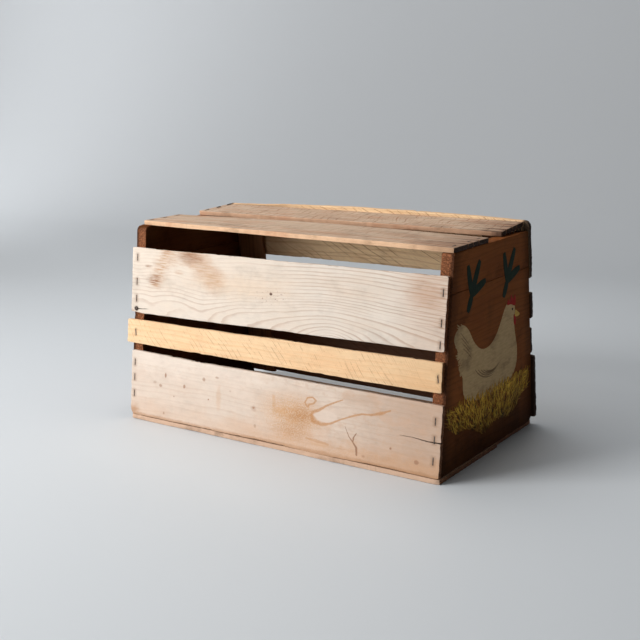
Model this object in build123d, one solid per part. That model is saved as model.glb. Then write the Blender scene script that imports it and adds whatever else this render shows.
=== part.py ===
from build123d import *
import os
from dataclasses import dataclass
from math import atan2, cos, degrees, radians, sin

# Wooden poultry transport crate: two trapezoid end panels, each of two boards, with slats
# nailed and stapled across them on the front, top, back and underside.
# Millimetres. X runs along the crate, -Y is the front, +Z is up.
# The origin is the middle of the underside, on the plane that the crate stands on.

# ---- driving dimensions ----
LENGTH = 564            # over the outer faces of the end panels
END_HEIGHT = 300
END_BOTTOM = 298        # end panel width at its foot
END_TOP = 232           # end panel width at its top
END_THICK = 20
END_JOINT = 246         # height of the joint between the two boards of an end panel
SLAT = 7                # thickness of slats, floor boards and cleats
CROWN = 5.5             # rise of the back upper slat's top edge at mid length
TILT = 3.4              # degrees: the top back slat lies with its back edge raised
TILT_HINGE = 32         # Y of the edge that it tilts about, where it rests on the end panels

CORNER = 2              # rounding of a sawn board's corners
WORN_CORNER = 9         # rounding of the corners that take the knocks
BREAK_WIDTH = 14        # what is broken off the right end panel's back foot
BREAK_HEIGHT = 7

STAPLE_WIDTH = 12
STAPLE_WIRE = 1.5
STAPLE_LEG = 20
STAPLE_BEND = 1.6       # radius of the wire's centre line at a staple's shoulders
STAPLE_SUNK = 0.2       # depth of the crown's axis below the surface of a slat
FLOOR_STAPLE_SUNK = 1.2  # floor staples are driven below the surface, so that the crate stands flat

NAIL_HEAD = 7
NAIL_HEAD_RISE = 1.6
NAIL_SHANK = 3
NAIL_LENGTH = 38

CLENCH_HEAD = 5         # small nails that hold the back slats to the cleats
CLENCH_HEAD_RISE = 0.8
CLENCH_SHANK = 2
CLENCH_LENGTH = 13
HEAD_ROUNDING = 0.8     # share of a nail head's rise that its rim is rounded by

CLEAT_WIDTH = 52
CLEAT_LOW = 9           # foot and head of the cleats, above the foot of the end panels
CLEAT_HIGH = 290
CLEAT_SIDE_GAP = 0.5    # between a cleat and the end panel beside it

LEAN = atan2((END_BOTTOM - END_TOP) / 2, END_HEIGHT)
END_INNER = LENGTH / 2 - END_THICK
FASTENER_X = LENGTH / 2 - END_THICK / 2     # fasteners enter an end panel's edge at its middle
CLEAT_X = END_INNER - CLEAT_SIDE_GAP - CLEAT_WIDTH / 2

# ---- the faces that slats lie on: local +Z is outward ----
FRONT = Plane(origin=(0, -END_BOTTOM / 2, SLAT), x_dir=(1, 0, 0), z_dir=(0, -cos(LEAN), sin(LEAN)))
BACK = Plane(origin=(0, END_BOTTOM / 2, SLAT), x_dir=(-1, 0, 0), z_dir=(0, cos(LEAN), sin(LEAN)))
TOP = Plane(origin=(0, 0, SLAT + END_HEIGHT), x_dir=(1, 0, 0), z_dir=(0, 0, 1))
TOP_TILTED = Plane(
    origin=(0, TILT_HINGE, SLAT + END_HEIGHT), x_dir=(1, 0, 0),
    z_dir=(0, -sin(radians(TILT)), cos(radians(TILT))),
)
FLOOR = Plane(origin=(0, 0, SLAT), x_dir=(1, 0, 0), z_dir=(0, 0, -1))


def on_face(face, x, across):
    """Local place of a point: across is the height on a wall, and Y on the top and the floor."""
    if face is FRONT:
        return (x, across / cos(LEAN))
    if face is BACK:
        return (-x, across / cos(LEAN))
    if face is TOP_TILTED:
        return (x, (across - TILT_HINGE) / cos(radians(TILT)))
    if face is FLOOR:
        return (x, -across)
    return (x, across)


@dataclass
class Slat:
    """A board across the end panels. Its edges may run out of parallel, so each has two ends."""
    face: Plane
    left: float             # X of its two ends
    right: float
    low: tuple              # lower (or front) edge, at the left end and at the right end
    high: tuple             # upper (or back) edge, likewise
    left_staples: tuple     # places of the staples across the slat
    right_staples: tuple
    worn: tuple = ()        # corners that are rounded by wear


SLATS = {
    "front_upper_slat": Slat(
        FRONT, -283, 278, (163, 171), (266, 269.5), (186, 213, 251), (179, 208, 248)
    ),
    "front_middle_slat": Slat(FRONT, -290, 278, (114, 115), (151.5, 156.5), (132,), (134,)),
    "front_lower_slat": Slat(
        FRONT, -279, 282, (1.5, 1.5), (102.5, 99), (34, 60, 84), (23, 52, 77), ("low_left",)
    ),
    "top_front_slat": Slat(TOP, -279, 281, (-103, -117), (-19, -13), (-92, -60, -30), (-100, -57, -28)),
    "top_back_slat": Slat(
        TOP_TILTED, -280, 275, (32, 41), (114.5, 114.5), (45, 76, 104), (52, 80, 104)
    ),
    "back_upper_slat": Slat(
        BACK, -280, 284, (225, 227), (310.5, 314.5), (240, 257, 277), (240, 257, 277), ("high_right",)
    ),
    "back_second_slat": Slat(BACK, -281, 284, (163, 165), (203, 205), (175, 194), (175, 194)),
    "back_third_slat": Slat(BACK, -279, 282, (107, 108), (148, 149), (118, 138), (118, 138)),
    "back_lower_slat": Slat(BACK, -280, 287, (11, 5), (103, 105), (28, 56, 86), (28, 56, 86)),
    "floor_front_board": Slat(
        FLOOR, -281, 283, (-155.5, -155.5), (24, 24),
        (-138, -92, -45, 4), (-138, -92, -45, 4), ("low_left",)
    ),
    "floor_back_board": Slat(
        FLOOR, -281, 279, (28, 28), (155.5, 155.5), (45, 88, 130), (45, 88, 130), ("high_right",)
    ),
}

MIDDLE_STAPLE_TURN = 14                     # degrees: the middle slat's staples went in askew
FRONT_NAIL = (-FASTENER_X, 170)             # the one round-head nail, under the staples
CLENCH_HEIGHTS = (30, 84, 128, 184, 244, 286)


# ---- fasteners, standing on local +Z with their legs or shank pointing down ----
def staple():
    """Square-shouldered wire staple, its crown along local Y and on the local origin."""
    half = (STAPLE_WIDTH - STAPLE_WIRE) / 2
    route = FilletPolyline(
        (0, -half, -STAPLE_LEG), (0, -half, 0), (0, half, 0), (0, half, -STAPLE_LEG), radius=STAPLE_BEND
    )
    foot = Plane(origin=route @ 0, z_dir=route % 0)
    return sweep(foot * Circle(STAPLE_WIRE / 2), path=route)


def nail(head, rise, shank, length):
    """Round-head nail: a low domed head standing on the surface and a straight shank."""
    bottom = (Align.CENTER, Align.CENTER, Align.MIN)
    top = (Align.CENTER, Align.CENTER, Align.MAX)
    cap = Cylinder(head / 2, rise, align=bottom)
    cap = fillet(cap.edges().sort_by(Axis.Z)[-1], rise * HEAD_ROUNDING)
    return cap + Cylinder(shank / 2, length, align=top)


def placed(face, x, across, depth, fastener, turn=0):
    """A fastener on the outer surface of a slat, sunk by depth and turned about its own axis."""
    local_x, local_y = on_face(face, x, across)
    return face * Pos(local_x, local_y, SLAT - depth) * Rot(0, 0, turn) * fastener


def slat_staples(slat, pattern, turn):
    depth = FLOOR_STAPLE_SUNK if slat.face is FLOOR else STAPLE_SUNK
    ends = ((-FASTENER_X, slat.left_staples), (FASTENER_X, slat.right_staples))
    return [placed(slat.face, x, across, depth, pattern, turn) for x, places in ends for across in places]


# ---- boards ----
def rounded(outline, corner, radius):
    """Round the corner of an outline that lies nearest to a point."""
    vertex = outline.vertices().sort_by_distance((*corner, 0))[0]
    return fillet(vertex, radius)


def slat_board(slat, crown=0):
    """A sawn board on its face. Crown bows its high edge."""
    corners = {
        "low_left": on_face(slat.face, slat.left, slat.low[0]),
        "low_right": on_face(slat.face, slat.right, slat.low[1]),
        "high_right": on_face(slat.face, slat.right, slat.high[1]),
        "high_left": on_face(slat.face, slat.left, slat.high[0]),
    }
    high_left, high_right = corners["high_left"], corners["high_right"]
    three_sides = Polyline(high_left, corners["low_left"], corners["low_right"], high_right)
    if crown:
        middle = ((high_left[0] + high_right[0]) / 2, (high_left[1] + high_right[1]) / 2 + crown)
        high_edge = ThreePointArc(high_right, middle, high_left)
    else:
        high_edge = Line(high_right, high_left)
    outline = make_face([three_sides, high_edge])
    for name, corner in corners.items():
        outline = rounded(outline, corner, WORN_CORNER if name in slat.worn else CORNER)
    return slat.face * extrude(outline, SLAT)


def half_width(height):
    return END_BOTTOM / 2 - (END_BOTTOM - END_TOP) / 2 * height / END_HEIGHT


def end_board(side, low, high, front_radius=CORNER, broken_foot=False):
    """One of the two boards of an end panel; side is -1 at the left and +1 at the right."""
    inner = Plane(origin=(side * END_INNER, 0, SLAT), x_dir=(0, 1, 0), z_dir=(1, 0, 0))
    front_foot = (-half_width(low), low)
    back_foot = (half_width(low), low)
    back_top = (half_width(high), high)
    front_top = (-half_width(high), high)
    if broken_foot:
        feet = [(back_foot[0] - BREAK_WIDTH, low), (half_width(low + BREAK_HEIGHT), low + BREAK_HEIGHT)]
    else:
        feet = [back_foot]
    outline = make_face(Polyline(front_foot, *feet, back_top, front_top, close=True))
    outline = rounded(outline, front_top, front_radius)
    if broken_foot:
        for corner in feet:
            outline = rounded(outline, corner, WORN_CORNER)
    return inner * extrude(outline, side * END_THICK)


def cleat(side):
    """Upright batten inside the back corner, that the back slats are also nailed to."""
    height = (CLEAT_HIGH - CLEAT_LOW) / cos(LEAN)
    x, y = on_face(BACK, side * CLEAT_X, CLEAT_LOW)
    return BACK * Pos(x, y + height / 2, -SLAT / 2) * Box(CLEAT_WIDTH, height, SLAT)


def touching(board, fasteners):
    """The fasteners whose boxes reach into a board's box."""
    box = board.bounding_box()
    near = []
    for fastener in fasteners:
        other = fastener.bounding_box()
        apart = (
            other.min.X > box.max.X or other.max.X < box.min.X
            or other.min.Y > box.max.Y or other.max.Y < box.min.Y
            or other.min.Z > box.max.Z or other.max.Z < box.min.Z
        )
        if not apart:
            near.append(fastener)
    return near


def build():
    """Every node by name: a board is one solid, and a fastener node is a list of solids."""
    boards = {
        "left_end_lower_board": end_board(-1, 0, END_JOINT),
        "left_end_upper_board": end_board(-1, END_JOINT, END_HEIGHT, front_radius=WORN_CORNER),
        "right_end_lower_board": end_board(1, 0, END_JOINT, broken_foot=True),
        "right_end_upper_board": end_board(1, END_JOINT, END_HEIGHT),
        "back_left_cleat": cleat(-1),
        "back_right_cleat": cleat(1),
    }
    fasteners = {}
    for name, slat in SLATS.items():
        crown = CROWN if name == "back_upper_slat" else 0
        boards[name] = slat_board(slat, crown)
        group = name.replace("_slat", "_staples").replace("_board", "_staples")
        turn = MIDDLE_STAPLE_TURN if name == "front_middle_slat" else 0
        fasteners[group] = slat_staples(slat, staple(), turn)

    round_nail = nail(NAIL_HEAD, NAIL_HEAD_RISE, NAIL_SHANK, NAIL_LENGTH)
    fasteners["front_upper_nail"] = [placed(FRONT, *FRONT_NAIL, 0, round_nail)]
    clench_nail = nail(CLENCH_HEAD, CLENCH_HEAD_RISE, CLENCH_SHANK, CLENCH_LENGTH)
    for side, name in ((-1, "left_cleat_nails"), (1, "right_cleat_nails")):
        fasteners[name] = [
            placed(BACK, side * CLEAT_X, height, 0, clench_nail) for height in CLENCH_HEIGHTS
        ]

    all_fasteners = [fastener for group in fasteners.values() for fastener in group]
    for name, board in boards.items():
        boards[name] = board - touching(board, all_fasteners)
    return {**boards, **fasteners}


def main():
    os.makedirs("parts", exist_ok=True)
    for name, shape in build().items():
        solids = shape if isinstance(shape, list) else [shape]
        node = Compound(children=[solid for item in solids for solid in item.solids()])
        export_step(node, f"parts/{name}.step")
    print(f"walls lean {degrees(LEAN):.2f} degrees")


if __name__ == "__main__":
    main()
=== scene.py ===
from dataclasses import dataclass
from math import atan2, cos, pi, radians, sin

import bmesh
import bpy
import numpy as np
from mathutils import Matrix, Vector


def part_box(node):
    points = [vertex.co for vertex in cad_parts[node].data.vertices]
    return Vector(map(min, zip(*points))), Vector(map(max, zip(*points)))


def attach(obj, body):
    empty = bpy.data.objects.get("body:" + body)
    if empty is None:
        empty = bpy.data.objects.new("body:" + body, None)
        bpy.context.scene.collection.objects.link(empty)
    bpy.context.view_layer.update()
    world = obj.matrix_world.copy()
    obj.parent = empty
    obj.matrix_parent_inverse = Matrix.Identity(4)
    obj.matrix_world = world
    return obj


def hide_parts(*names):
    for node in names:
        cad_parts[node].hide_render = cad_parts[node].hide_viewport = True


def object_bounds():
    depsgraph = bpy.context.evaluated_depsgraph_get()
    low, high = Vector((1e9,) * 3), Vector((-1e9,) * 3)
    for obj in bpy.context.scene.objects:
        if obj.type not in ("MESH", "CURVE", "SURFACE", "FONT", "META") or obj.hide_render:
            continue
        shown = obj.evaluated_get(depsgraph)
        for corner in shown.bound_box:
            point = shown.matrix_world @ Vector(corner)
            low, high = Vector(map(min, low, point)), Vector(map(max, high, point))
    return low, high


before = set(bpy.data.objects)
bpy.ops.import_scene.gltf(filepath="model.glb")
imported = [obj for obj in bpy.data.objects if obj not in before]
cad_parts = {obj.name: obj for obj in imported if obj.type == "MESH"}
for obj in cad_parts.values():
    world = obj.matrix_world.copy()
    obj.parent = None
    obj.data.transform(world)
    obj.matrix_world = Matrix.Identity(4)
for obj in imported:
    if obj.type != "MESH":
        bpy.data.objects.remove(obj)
CAD_LOW, CAD_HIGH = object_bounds()
MM = 0.001                  # boards, paint and patterns are worked out in millimetres

# ---- Camera: metres and radians ----
CAMERA_PLACE = (0.928467, -1.369032, 0.537789)
CAMERA_YAW, CAMERA_DOWN, CAMERA_ROLL = 0.60216, 0.22273, -0.01568
CAMERA_LENS, SENSOR_WIDTH = 61.269, 36

# ---- Studio: metres and watts ----
PAPER_GAP = 0.0004          # worn boards reach a little below the CAD's
PAPER_FRONT, PAPER_WALL, PAPER_TOP, PAPER_HALF_WIDTH = -3.5, 2.6, 4.5, 5
PAPER_BEND = 1.2            # radius between its floor and its wall
PAPER_PALE, PAPER_DARK = (0.69, 0.715, 0.735), (0.55, 0.565, 0.58)
PAPER_SHADE = 0.6, 2.5      # behind the crate, from where its floor is pale to where its wall is dark
COOL = (0.97, 0.985, 1.0)
AMBIENT_COLOUR, AMBIENT_STRENGTH = (0.75, 0.75, 0.74, 1), 0.11

# ---- Meshes: millimetres ----
GRID_STEP, GRID_DEPTH = 3, 2.4      # spacing of a board's vertices over its face, and into it
ARRIS_LINE = 0.586          # share of an arris's radius at which a line divides the rounding evenly
FREE_HALF_LENGTH = 255      # a slat bows between its staples
EDGE_WANDER = 0.4           # how far a board's long edges stray
SHARP_ANGLE = radians(38)
PAINT_THICKNESS, PAINT_DEPTH = 0.15, 0.2    # above the wood, and how far its sides reach into it
STAPLE_HALF_WIDTH = 5
LEG_TIP = 1.5               # the ends of a staple's legs, by depth
LEG_GAP = 3                 # less than the distance between two legs
SPLIT_STEP = 2.5            # between the jags of an open split
CUT_MARGIN = 2              # a cutter reaches this far past a board's faces


# ---- The crate's faces: X along the grain, Z outward ----
def face(origin, along, outward):
    along, outward = Vector(along), Vector(outward)
    axes = Matrix((along, outward.cross(along), outward)).transposed().to_4x4()
    axes.translation = origin
    return axes


FOOT_LOW, FOOT_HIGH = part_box("left_end_lower_board")
HEAD_LOW, HEAD_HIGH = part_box("left_end_upper_board")
RIGHT_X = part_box("right_end_lower_board")[1].x
END_THICKNESS = (FOOT_HIGH.x - FOOT_LOW.x) / MM
LEAN = atan2(HEAD_LOW.y - FOOT_LOW.y, HEAD_LOW.z - FOOT_LOW.z)

FRONT = face((0, FOOT_LOW.y, FOOT_LOW.z), (1, 0, 0), (0, -cos(LEAN), sin(LEAN)))
BACK = face((0, FOOT_HIGH.y, FOOT_LOW.z), (-1, 0, 0), (0, cos(LEAN), sin(LEAN)))
BACK_UPRIGHT = face((0, FOOT_HIGH.y, FOOT_LOW.z), (0, -sin(LEAN), cos(LEAN)), (0, cos(LEAN), sin(LEAN)))
TOP = face((0, 0, HEAD_HIGH.z), (1, 0, 0), (0, 0, 1))
FLOOR = face((0, 0, FOOT_LOW.z), (1, 0, 0), (0, 0, -1))
LEFT = face((FOOT_LOW.x, 0, FOOT_LOW.z), (0, -1, 0), (-1, 0, 0))
RIGHT = face((RIGHT_X, 0, FOOT_LOW.z), (0, 1, 0), (1, 0, 0))


def own_points(node, axes):
    """A CAD node's vertices in a face's own axes, in millimetres."""
    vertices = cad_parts[node].data.vertices
    flat = np.empty(3 * len(vertices), np.float32)
    vertices.foreach_get("co", flat)
    turn = np.array(axes.inverted())
    return (flat.reshape(-1, 3) @ turn[:3, :3].T + turn[:3, 3]) / MM


def tilted_face(node, flat):
    """The axes of a top slat that lies tilted about its front edge."""
    points = own_points(node, flat)
    front = points[points[:, 2].argmin()]
    back = points[points[:, 1] > points[:, 1].max() - 1]
    rise = back[back[:, 2].argmin()] - front
    hinge = Matrix.Translation((0, front[1] * MM, front[2] * MM))
    return flat @ hinge @ Matrix.Rotation(atan2(rise[2], rise[1]), 4, "X")


def fastener_places(node, axes):
    """Where the staples of a CAD node enter a face: the middle of each pair of legs."""
    points = own_points(node, axes)
    tips = points[points[:, 2] < points[:, 2].min() + LEG_TIP]
    places = []
    for side in (tips[tips[:, 0] < 0], tips[tips[:, 0] > 0]):
        side = side[np.argsort(side[:, 1])]
        legs = np.split(side, np.where(np.diff(side[:, 1]) > LEG_GAP)[0] + 1)
        centres = [leg.mean(0) for leg in legs]
        places += [tuple((a + b)[:2] / 2) for a, b in zip(centres[::2], centres[1::2])]
    return places


def travelled(points):
    """How far along a path each of its points is."""
    return np.concatenate([[0], np.cumsum(np.hypot(*np.diff(points, axis=0).T))])


TOP_BACK = tilted_face("top_back_slat", TOP)

# Open splits, from the end of the board inward, each with its width at the mouth.
NAIL_SPLIT = ((((-271, 170.8), (-262, 171), (-246, 172.4)), 1.2),)
LOWER_SPLIT = ((((285, 49), (262, 48.6), (240, 50.6), (218, 50.5)), 1.8),)
TOP_FRONT_SPLITS = (
    (((284, -44), (262, -44.5), (226, -43)), 3.4), (((284, -77), (262, -78), (212, -76)), 3),
    (((284, -62), (270, -62), (254, -61)), 2.4), (((-283, -66), (-262, -65), (-240, -66)), 0.9),
)
TOP_BACK_SPLITS = (
    (((278, 24), (255, 25), (222, 24)), 3.4), (((278, 44), (262, 44), (240, 45)), 3),
    (((278, 59), (262, 58.5), (244, 60)), 3), (((278, 10), (236, 11), (196, 10)), 2),
)
BACK_SPLITS = ((((-288, 263), (-268, 264), (-240, 262)), 1),)


# ---- Material graphs written as arithmetic ----
class Value:
    """A number or colour that varies over a surface."""

    def __init__(self, graph, socket):
        self.graph, self.socket = graph, socket

    def __add__(self, other):
        return self.graph.math("ADD", self, other)

    def __sub__(self, other):
        return self.graph.math("SUBTRACT", self, other)

    def __rsub__(self, other):
        return self.graph.math("SUBTRACT", other, self)

    def __mul__(self, other):
        return self.graph.math("MULTIPLY", self, other)

    def __truediv__(self, other):
        return self.graph.math("DIVIDE", self, other)

    __radd__ = __add__
    __rmul__ = __mul__


class Graph:
    """A material under construction. x, y, z are the surface's own millimetres, nx, ny, nz its normal."""

    def __init__(self, name):
        self.material = bpy.data.materials.new(name)
        self.material.use_nodes = True
        self.tree = self.material.node_tree
        self.tree.nodes.clear()
        source = self.new_node("TexCoord")
        place = self.split(source.outputs["Object"])
        normal = self.split(source.outputs["Normal"])
        self.x, self.y, self.z = (v * (1 / MM) for v in place)
        self.nx, self.ny, self.nz = (self.math("ABSOLUTE", v) for v in normal)

    def new_node(self, kind):
        return self.tree.nodes.new(f"ShaderNode{kind}")

    def node(self, kind, inputs, **settings):
        made = self.new_node(kind)
        for key, value in settings.items():
            setattr(made, key, value)
        for key, value in inputs.items():
            if isinstance(value, Value):
                self.tree.links.new(value.socket, made.inputs[key])
            elif isinstance(value, tuple) and len(value) == 3 and made.inputs[key].type == "RGBA":
                made.inputs[key].default_value = (*value, 1)
            else:
                made.inputs[key].default_value = value
        return made

    def split(self, socket):
        made = self.new_node("SeparateXYZ")
        self.tree.links.new(socket, made.inputs[0])
        return [Value(self, output) for output in made.outputs]

    def math(self, operation, *values):
        made = self.node("Math", dict(enumerate(values)), operation=operation)
        return Value(self, made.outputs[0])

    def noise(self, x, y, z=0, detail=2, roughness=0.5):
        """Smooth noise about 0.5, with features one unit across."""
        place = self.node("CombineXYZ", {0: x, 1: y, 2: z})
        inputs = {"Vector": Value(self, place.outputs[0]), "Scale": 1, "Detail": detail,
                  "Roughness": roughness}
        return Value(self, self.node("TexNoise", inputs).outputs[0])

    def step(self, value, low, high):
        """Rises smoothly from 0 at low to 1 at high, or falls if low is above high."""
        inputs = {"Value": value, "From Min": low, "From Max": high}
        made = self.node("MapRange", inputs, interpolation_type="SMOOTHSTEP")
        return Value(self, made.outputs[0])

    def mix(self, amount, first, second, blend="MIX"):
        inputs = {0: amount, 6: first, 7: second}
        made = self.node("Mix", inputs, data_type="RGBA", blend_type=blend)
        return Value(self, made.outputs[2])

    def largest(self, first, second):
        return self.math("MAXIMUM", first, second)

    def smallest(self, first, second):
        return self.math("MINIMUM", first, second)

    def reach(self, x, y, size_x, size_y):
        """Distance from a point, 1 on an ellipse of these half sizes."""
        dx, dy = (self.x - x) * (1 / size_x), (self.y - y) * (1 / size_y)
        return self.math("SQRT", dx * dx + dy * dy)

    def path(self, *points):
        """How far inside a bent stroke a place is: 1 on its middle line, 0 at its edge.

        A point is its x, its y and the stroke's half width there."""
        inside = -9
        for (x0, y0, width0), (x1, y1, width1) in zip(points, points[1:]):
            length = np.hypot(x1 - x0, y1 - y0)
            ux, uy = (x1 - x0) / length, (y1 - y0) / length
            along = (self.x - x0) * ux + (self.y - y0) * uy
            along = self.smallest(self.largest(along, 0), length)
            dx, dy = self.x - (along * ux + x0), self.y - (along * uy + y0)
            width = along * ((width1 - width0) / length) + width0
            inside = self.largest(1 - self.math("SQRT", dx * dx + dy * dy) / width, inside)
        return inside

    def finish(self, colour, roughness, height, shine=0.2, metallic=0):
        """Ends the graph. Height is in millimetres."""
        bump = self.node("Bump", {"Strength": 1, "Distance": MM, "Height": height})
        inputs = {"Base Color": colour, "Roughness": roughness, "Normal": Value(self, bump.outputs[0]),
                  "Specular IOR Level": shine, "Metallic": metallic}
        made = self.node("BsdfPrincipled", inputs)
        output = self.new_node("OutputMaterial")
        self.tree.links.new(made.outputs[0], output.inputs[0])
        return self.material


def tint(*display):
    """A colour given in display values, from 11 to 255."""
    return tuple(((value / 255 + 0.055) / 1.055) ** 2.4 for value in display)


# ---- Wood ----
@dataclass
class Wood:
    """A kind of wood. Colours are display values, and lengths millimetres."""

    pale: tuple             # colour between the growth lines
    late: tuple             # colour of the growth lines
    patch: tuple            # colour of the large patches
    end: tuple = (118, 78, 54)      # colour of the end grain
    edge: tuple = None      # colour of the long sawn edges, if it differs
    ring: float = 7.0       # distance between growth lines, across the board
    slant: float = 0.8      # how far the lines move across, per millimetre into the board
    wander: float = 9.0     # how far the lines stray across the board
    run: float = 160.0      # length of those waves
    lines: float = 0.55     # strength of the growth lines
    sharp: float = 0.45     # share of the distance between two lines that stays pale
    fibre: float = 0.5      # strength of the fine streaks
    patches: float = 0.5    # strength of the large patches
    saw: float = 0.0        # strength of the saw marks
    saw_pitch: float = 4.0
    saw_lean: float = 0.7   # how far a saw mark moves along the board, per millimetre across
    saw_gaps: float = 0.0   # how much of the saw marks is missing from some patches
    grime: float = 0.3
    heart: tuple = ()       # (x, y, stretch, limit): the lines arch over this point
    waves: tuple = ()       # (still, full, size, length): waves that grow from x = still to x = full
    seed: float = 0.0
    coarse: float = 1.0     # depth of the surface's texture


class Layers:
    """The colour and height of a wood surface, which a board's own marks are then added to."""

    def __init__(self, name, wood):
        self.graph = g = Graph(name)
        self.wood = wood
        x, y, z, s = g.x, g.y, g.z, wood.seed
        streak = g.noise(x * 0.028 + s, y * 1.1, z * 1.1 + s, 4, 0.6)
        cloud = g.noise(x * 0.011 + s, y * 0.035, s + 7, 3, 0.55)
        mottle = g.noise(x * 0.07, y * 0.1 + s, z * 0.1, 4, 0.6)
        self.fine = g.noise(x * 0.1 + s, y * 3.6, z * 3.6, 3, 0.65)
        self.band = self.growth_lines()
        self.colour = g.mix(self.band * wood.lines, tint(*wood.pale), tint(*wood.late))
        self.stain(g.step(cloud, 0.42, 0.72) * wood.patches, wood.patch)
        self.light = 1 + (streak - 0.5) * (0.5 * wood.fibre) + (self.fine - 0.5) * (0.45 * wood.fibre)
        self.light = self.light + (mottle - 0.5) * 0.16
        height = self.band * 0.05 + self.fine * 0.09 + streak * 0.12 + mottle * 0.1
        self.height = height * wood.coarse
        self.rough = 0.72 + (mottle - 0.5) * 0.25
        self.shine = 0.2
        self.corner = 0           # painted shadow: how dark the end grain is, near the outer face
        self.fray = 0             # how uneven the edges of spots and runs are

        # short dark resin pores along the grain
        pores = g.step(g.noise(x * 0.16, y * 2.6, s + 11, 1), 0.69, 0.8)
        self.light = self.light - pores * 0.2 * wood.fibre
        if wood.saw:
            self.saw_marks()
        if wood.edge:
            dirt = g.step(g.noise(x * 0.03, z * 0.4, 2, 3), 0.6, 0.8) * 0.4
            self.stain(g.step(g.ny, 0.6, 0.9) * (1 - dirt) * 0.9, wood.edge)

    def growth_lines(self):
        """The growth lines are the level lines of a gently waving field."""
        g, wood = self.graph, self.wood
        x, y, z, s = g.x, g.y, g.z, wood.seed
        field = y + z * wood.slant
        if wood.heart:
            heart_x, heart_y, stretch, limit = wood.heart
            aside = (x - heart_x) * (1 / stretch)
            aside = aside / g.math("SQRT", aside * aside * (1 / limit ** 2) + 1)
            field = g.math("SQRT", aside * aside + (y - heart_y) * (y - heart_y)) + z * wood.slant
        field = field + (g.noise(x * (1 / wood.run) + s, y * (1 / 55), s, 1) - 0.5) * (2 * wood.wander)
        field = field + (g.noise(x * (1 / 38) + s, y * (1 / 9), z * 0.1, 2) - 0.5) * 2.2
        if wood.waves:
            still, full, size, length = wood.waves
            wave = g.noise(x * (1 / length) + s, y * (0.6 / length), s + 4, 1) - 0.5
            field = field + wave * g.step(x, still, full) * size
        phase = field * (1 / wood.ring) + g.noise(0, field * 0.045 + s, s, 1) * 3
        turn = g.math("FRACT", phase)
        band = g.step(turn, wood.sharp, 0.94) * g.step(turn, 1, 0.95)
        band = band * g.step(g.noise(x * 0.008, field * 0.16, s + 3, 2), 0.22, 0.62) * 1.3
        return g.smallest(band, 1)

    def saw_marks(self):
        """Thin dark lines right across the board, coarse ones and fine ones. Few run unbroken."""
        g, wood = self.graph, self.wood
        x, y, s = g.x, g.y, wood.seed
        warp = (g.noise(x * 0.006, y * 0.01, s + 2, 2) - 0.5) * (4 * wood.saw_pitch)
        across = y + x * -0.1
        sawn = (x + y * wood.saw_lean + warp) * (1 / wood.saw_pitch)
        groove = 0
        for k, (size, share) in enumerate(((1, 1), (0.37, 0.5))):
            stray = (g.noise(x * 0.05, y * 0.05, s + k, 1) - 0.5) * 0.25
            tooth = g.math("FRACT", sawn * (1 / size) + stray)
            mark = g.step(tooth, 0.86 - 0.06 / size, 0.93) * g.step(tooth, 1, 0.94)
            where = g.noise(sawn * (0.55 / size), across * 0.03, s + 5 + k, 3, 0.6)
            groove = g.largest(mark * g.step(where, 0.4, 0.58) * share, groove)
        groove = groove * g.step(g.noise(x * 0.3, y * 0.3, s, 2), 0.2, 0.5) * g.step(g.nz, 0.6, 0.9)
        gaps = g.step(g.noise(x * 0.06, y * 0.06, s + 8, 3, 0.65), 0.56, 0.42)
        groove = groove * (1 - gaps * wood.saw_gaps)
        self.stain(groove * (0.6 * wood.saw), (140, 82, 44))
        self.height = self.height - groove * (0.07 * wood.saw)

    def stain(self, amount, colour, blend="MIX"):
        """Lays a colour over the wood: three display values, or one that varies."""
        if isinstance(colour, tuple):
            colour = tint(*colour)
        self.colour = self.graph.mix(amount, self.colour, colour, blend)

    def darken(self, amount):
        self.light = self.light * (1 - amount)

    def spot(self, x, y, size_x, size_y, soft=0.5):
        """A frayed round mark: 1 inside it, 0 outside."""
        away = self.graph.reach(x, y, size_x, size_y) + self.fray
        return self.graph.step(away, 1 + soft / 2, 1 - soft)

    def run(self, *points):
        """How far inside a dried run a place is."""
        return self.graph.path(*points) + self.fray * 0.7

    def rust(self, axes, *nodes, reach=4.5):
        """Dark stains round the staples of some CAD nodes, which stand across the board."""
        g = self.graph
        nearest = 99
        for x, y in (place for node in nodes for place in fastener_places(node, axes)):
            dx = g.x - float(x)
            dy = g.largest(g.math("ABSOLUTE", g.y - float(y)) - STAPLE_HALF_WIDTH, 0)
            nearest = g.smallest(g.math("SQRT", dx * dx * 0.45 + dy * dy), nearest)
        ragged = nearest + (g.noise(g.x * 0.3, g.y * 0.5, 1, 3) - 0.5) * 3
        self.stain(g.step(ragged, reach, 0.2) * 0.4, (136, 98, 72))
        self.stain(g.step(nearest, 0.95, 0.7) * 0.35, (60, 42, 34))

    def aged_and_shaded_panel(self):
        """Painted shade on an end panel: darker toward its foot, along its leaning edges, inside, and on its
        end grain near the outer face. Its smears and dull finish are its own.
        """
        g = self.graph
        smear = g.noise(g.x * 0.02, g.y * 0.008, 3, 4, 0.6) - 0.5
        self.shine = 0.05
        # painted shadow on the end grain near the outer face
        self.corner = g.step(g.z, -8, -2.5) * 0.75
        # painted shade, darker toward the foot
        self.darken(g.step(g.y + smear * 120, 110, 0) * 0.72)
        # painted shade along the leaning edges
        rim = g.math("ABSOLUTE", g.x) + g.y * sin(LEAN) + smear * 24
        self.darken(g.step(rim, 118, 148) * 0.5)
        self.darken(g.step(smear, 0.05, 0.25) * 0.25)
        # painted shade on the inside face
        inside = g.step(g.z + END_THICKNESS, 3, 1)
        self.stain(inside * 0.5, (84, 58, 36))
        self.darken(inside * 0.2)

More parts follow.
